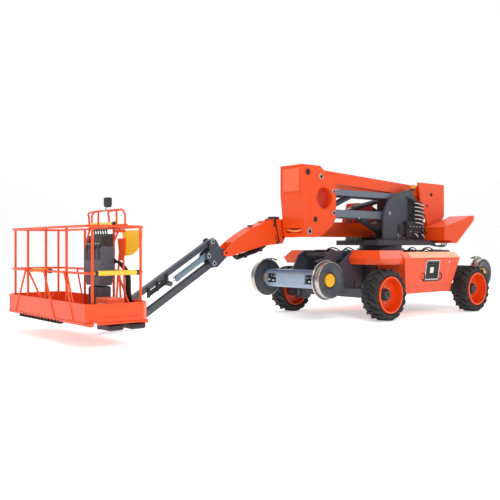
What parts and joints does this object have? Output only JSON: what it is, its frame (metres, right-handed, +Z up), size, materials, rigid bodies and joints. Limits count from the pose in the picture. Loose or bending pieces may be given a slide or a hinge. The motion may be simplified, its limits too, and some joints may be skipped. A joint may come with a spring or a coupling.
{
  "type": "articulating boom lift",
  "caption": "Self-propelled road-rail aerial work platform: wheeled chassis with rail axles, slewing double-parallelogram lift, telescopic boom, jib and swinging basket.",
  "frame": {"origin": "middle of the bounding box on the ground", "axes": "+X forward to the basket, +Y to the machine's left, +Z up"},
  "size_m": [8.917, 2.742, 2.53],
  "materials": {
    "orange": "gloss orange paint",
    "slate": "satin dark grey paint",
    "steel": "satin grey paint",
    "black": "matte",
    "rubber": "matte rubber",
    "yellow": "gloss yellow",
    "chrome": "polished"
  },
  "bodies": {
    "chassis": {"chassis_frame": "slate", "slew_ring": "steel", "left_side_cover": "orange", "right_side_cover": "orange", "engine_block": "steel", "rear_axle": "slate", "front_axle": "slate"},
    "steer_left": {"steering_knuckle_left": "slate"},
    "steer_right": {"steering_knuckle_right": "slate"},
    "wheel_front_left": {"tyre_front_left": "rubber", "rim_front_left": "orange"},
    "wheel_front_right": {"tyre_front_right": "rubber", "rim_front_right": "orange"},
    "wheel_rear_left": {"tyre_rear_left": "rubber", "rim_rear_left": "orange"},
    "wheel_rear_right": {"tyre_rear_right": "rubber", "rim_rear_right": "orange"},
    "rail_arm_front": {"rail_arm_front": "steel"},
    "rail_wheels_front": {"rail_wheel_front_left": "steel", "rail_wheel_front_right": "steel"},
    "rail_barrel_front": {"rail_lift_front_barrel": "slate"},
    "rail_rod_front": {"rail_lift_front_rod": "chrome"},
    "rail_arm_rear": {"rail_arm_rear": "steel"},
    "rail_wheels_rear": {"rail_wheel_rear_left": "steel", "rail_wheel_rear_right": "steel"},
    "rail_barrel_rear": {"rail_lift_rear_barrel": "slate"},
    "rail_rod_rear": {"rail_lift_rear_rod": "chrome"},
    "turntable": {"turntable": "slate", "counterweight": "orange", "valve_block": "black", "fuel_tank": "slate", "beacon": "yellow"},
    "lower_arm": {"lower_arm": "steel"},
    "lower_tie": {"lower_tie": "steel"},
    "lower_barrel": {"lower_lift_barrel": "slate"},
    "lower_rod": {"lower_lift_rod": "chrome"},
    "front_knuckle": {"front_knuckle": "orange"},
    "upper_arm": {"upper_arm": "orange"},
    "upper_tie": {"upper_tie": "orange"},
    "upper_barrel": {"upper_lift_barrel": "slate"},
    "upper_rod": {"upper_lift_rod": "chrome"},
    "rear_knuckle": {"rear_knuckle": "orange"},
    "boom": {"boom_outer": "orange"},
    "telescope": {"boom_inner": "orange"},
    "boom_barrel": {"boom_lift_barrel": "slate"},
    "boom_rod": {"boom_lift_rod": "chrome"},
    "jib_knuckle": {"jib_knuckle": "slate"},
    "jib_upper": {"jib_upper_bar": "slate"},
    "jib_lower": {"jib_lower_bar": "slate"},
    "jib_barrel": {"jib_lift_barrel": "slate"},
    "jib_rod": {"jib_lift_rod": "chrome"},
    "jib_end": {"jib_end": "slate"},
    "basket": {"basket_floor": "orange", "basket_rails": "orange", "console": "black", "console_guard": "orange", "shield": "yellow"},
    "entry_bar": {"entry_bar": "yellow"}
  },
  "joints": [
    {"name": "steer_left", "type": "hinge", "parent": "chassis", "child": "steer_left", "pos_m": [-0.6915, 0.989, 0.42], "axis": [0, 0, 1], "range_deg": [-30, 30]},
    {"name": "wheel_front_left_spin", "type": "hinge", "parent": "steer_left", "child": "wheel_front_left", "pos_m": [-0.6915, 1.216, 0.42], "axis": [0, 1, 0], "continuous": true},
    {"name": "wheel_rear_left_spin", "type": "hinge", "parent": "chassis", "child": "wheel_rear_left", "pos_m": [-3.2115, 1.216, 0.42], "axis": [0, 1, 0], "continuous": true},
    {"name": "steer_right", "type": "hinge", "parent": "chassis", "child": "steer_right", "pos_m": [-0.6915, -0.731, 0.42], "axis": [0, 0, 1], "range_deg": [-30, 30]},
    {"name": "wheel_front_right_spin", "type": "hinge", "parent": "steer_right", "child": "wheel_front_right", "pos_m": [-0.6915, -0.958, 0.42], "axis": [0, 1, 0], "continuous": true},
    {"name": "wheel_rear_right_spin", "type": "hinge", "parent": "chassis", "child": "wheel_rear_right", "pos_m": [-3.2115, -0.958, 0.42], "axis": [0, 1, 0], "continuous": true},
    {"name": "rail_front_lower", "type": "hinge", "parent": "chassis", "child": "rail_arm_front", "pos_m": [-0.4715, 0.129, 0.62], "axis": [0, 1, 0], "range_deg": [0, 40]},
    {"name": "rail_wheels_front_spin", "type": "hinge", "parent": "rail_arm_front", "child": "rail_wheels_front", "pos_m": [0.2435, 0.129, 0.667], "axis": [0, 1, 0], "continuous": true},
    {"name": "rail_front_barrel_swing", "type": "hinge", "parent": "chassis", "child": "rail_barrel_front", "pos_m": [-1.1515, 0.129, 1.09], "axis": [0, 1, 0], "range_deg": [-30, 30]},
    {"name": "rail_front_rod", "type": "slide", "parent": "rail_barrel_front", "child": "rail_rod_front", "axis": [0.999, 0, -0.0454], "range_m": [-0.05, 0.45]},
    {"name": "rail_rear_lower", "type": "hinge", "parent": "chassis", "child": "rail_arm_rear", "pos_m": [-3.4315, 0.129, 0.62], "axis": [0, -1, 0], "range_deg": [0, 40]},
    {"name": "rail_wheels_rear_spin", "type": "hinge", "parent": "rail_arm_rear", "child": "rail_wheels_rear", "pos_m": [-4.1465, 0.129, 0.667], "axis": [0, 1, 0], "continuous": true},
    {"name": "rail_rear_barrel_swing", "type": "hinge", "parent": "chassis", "child": "rail_barrel_rear", "pos_m": [-2.7515, 0.129, 1.09], "axis": [0, -1, 0], "range_deg": [-30, 30]},
    {"name": "rail_rear_rod", "type": "slide", "parent": "rail_barrel_rear", "child": "rail_rod_rear", "axis": [-0.999, 0, -0.0454], "range_m": [-0.05, 0.45]},
    {"name": "slew", "type": "hinge", "parent": "chassis", "child": "turntable", "pos_m": [-1.9515, 0.129, 1.22], "axis": [0, 0, 1], "continuous": true},
    {"name": "lower_luff", "type": "hinge", "parent": "turntable", "child": "lower_arm", "pos_m": [-2.3915, 0.129, 1.76], "axis": [0, -1, 0], "range_deg": [0, 65]},
    {"name": "lower_tie_swing", "type": "hinge", "parent": "turntable", "child": "lower_tie", "pos_m": [-2.3915, 0.129, 2.12], "axis": [0, -1, 0], "range_deg": [-1, 66]},
    {"name": "front_knuckle_level", "type": "hinge", "parent": "lower_arm", "child": "front_knuckle", "pos_m": [-0.4115, 0.129, 1.76], "axis": [0, -1, 0], "range_deg": [-66, 1]},
    {"name": "lower_barrel_swing", "type": "hinge", "parent": "turntable", "child": "lower_barrel", "pos_m": [-2.1015, 0.129, 1.4], "axis": [0, -1, 0], "range_deg": [-20, 90]},
    {"name": "lower_rod_travel", "type": "slide", "parent": "lower_barrel", "child": "lower_rod", "axis": [0.9299, 0, 0.3679], "range_m": [-0.1, 0.7]},
    {"name": "upper_luff", "type": "hinge", "parent": "front_knuckle", "child": "upper_arm", "pos_m": [-0.1015, 0.129, 2.35], "axis": [0, 1, 0], "range_deg": [0, 65]},
    {"name": "upper_tie_swing", "type": "hinge", "parent": "front_knuckle", "child": "upper_tie", "pos_m": [-0.1815, 0.129, 2.24], "axis": [0, 1, 0], "range_deg": [-1, 66]},
    {"name": "rear_knuckle_level", "type": "hinge", "parent": "upper_arm", "child": "rear_knuckle", "pos_m": [-3.1915, 0.129, 2.205], "axis": [0, 1, 0], "range_deg": [-66, 1]},
    {"name": "upper_barrel_swing", "type": "hinge", "parent": "front_knuckle", "child": "upper_barrel", "pos_m": [0.0285, 0.129, 1.64], "axis": [0, 1, 0], "range_deg": [-20, 90]},
    {"name": "upper_rod_travel", "type": "slide", "parent": "upper_barrel", "child": "upper_rod", "axis": [-0.9285, 0, 0.3712], "range_m": [-0.1, 0.8]},
    {"name": "boom_luff", "type": "hinge", "parent": "rear_knuckle", "child": "boom", "pos_m": [-3.2515, -0.291, 1.515], "axis": [0, -1, 0], "range_deg": [0, 60]},
    {"name": "boom_barrel_swing", "type": "hinge", "parent": "rear_knuckle", "child": "boom_barrel", "pos_m": [-3.1515, -0.291, 2.25], "axis": [0, -1, 0], "range_deg": [-10, 100]},
    {"name": "boom_rod_travel", "type": "slide", "parent": "boom_barrel", "child": "boom_rod", "axis": [0.9747, 0, -0.2234], "range_m": [-0.9, 0.1]},
    {"name": "telescope", "type": "slide", "parent": "boom", "child": "telescope", "axis": [1, 0, 0], "range_m": [0, 1.5]},
    {"name": "jib_knuckle_level", "type": "hinge", "parent": "telescope", "child": "jib_knuckle", "pos_m": [1.4385, -0.291, 1.095], "axis": [0, -1, 0], "range_deg": [-61, 1]},
    {"name": "jib_luff", "type": "hinge", "parent": "jib_knuckle", "child": "jib_upper", "pos_m": [1.6985, -0.291, 1.27], "axis": [0, -1, 0], "range_deg": [0, 50]},
    {"name": "jib_lower_swing", "type": "hinge", "parent": "jib_knuckle", "child": "jib_lower", "pos_m": [1.6685, -0.291, 0.935], "axis": [0, -1, 0], "range_deg": [-1, 51]},
    {"name": "jib_barrel_swing", "type": "hinge", "parent": "jib_knuckle", "child": "jib_barrel", "pos_m": [1.7685, -0.291, 1.05], "axis": [0, -1, 0], "range_deg": [-20, 120]},
    {"name": "jib_rod_travel", "type": "slide", "parent": "jib_barrel", "child": "jib_rod", "axis": [0.8535, 0, -0.521], "range_m": [-0.1, 0.5]},
    {"name": "jib_end_level", "type": "hinge", "parent": "jib_upper", "child": "jib_end", "pos_m": [3.0685, -0.291, 0.45], "axis": [0, -1, 0], "range_deg": [-51, 1]},
    {"name": "basket_swing", "type": "hinge", "parent": "jib_end", "child": "basket", "pos_m": [3.5185, -0.291, 0.336], "axis": [0, 0, 1], "range_deg": [-90, 90]},
    {"name": "entry_bar_lift", "type": "slide", "parent": "basket", "child": "entry_bar", "axis": [0, 0, 1], "range_m": [0, 0.35]}
  ],
  "couplings": [
    {"joint": "steer_right", "follows": "steer_left", "ratio": 1},
    {"joint": "rail_front_barrel_swing", "follows": "rail_front_lower", "ratio": 0.11551},
    {"joint": "rail_front_rod", "follows": "rail_front_lower", "m_per_rad": 0.4217},
    {"joint": "rail_rear_barrel_swing", "follows": "rail_rear_lower", "ratio": 0.11551},
    {"joint": "rail_rear_rod", "follows": "rail_rear_lower", "m_per_rad": 0.4217},
    {"joint": "lower_tie_swing", "follows": "lower_luff", "ratio": 1},
    {"joint": "front_knuckle_level", "follows": "lower_luff", "ratio": -1},
    {"joint": "lower_barrel_swing", "follows": "lower_luff", "ratio": 0.92131},
    {"joint": "lower_rod_travel", "follows": "lower_luff", "m_per_rad": 0.42764},
    {"joint": "upper_tie_swing", "follows": "upper_luff", "ratio": 1},
    {"joint": "rear_knuckle_level", "follows": "upper_luff", "ratio": -1},
    {"joint": "upper_barrel_swing", "follows": "upper_luff", "ratio": 0.66526},
    {"joint": "upper_rod_travel", "follows": "upper_luff", "m_per_rad": 0.4113},
    {"joint": "boom_barrel_swing", "follows": "boom_luff", "ratio": 1.1647},
    {"joint": "boom_rod_travel", "follows": "boom_luff", "m_per_rad": -0.61708},
    {"joint": "jib_knuckle_level", "follows": "boom_luff", "ratio": -1},
    {"joint": "jib_lower_swing", "follows": "jib_luff", "ratio": 1},
    {"joint": "jib_barrel_swing", "follows": "jib_luff", "ratio": 1.0944},
    {"joint": "jib_rod_travel", "follows": "jib_luff", "m_per_rad": 0.20795},
    {"joint": "jib_end_level", "follows": "jib_luff", "ratio": -1}
  ]
}
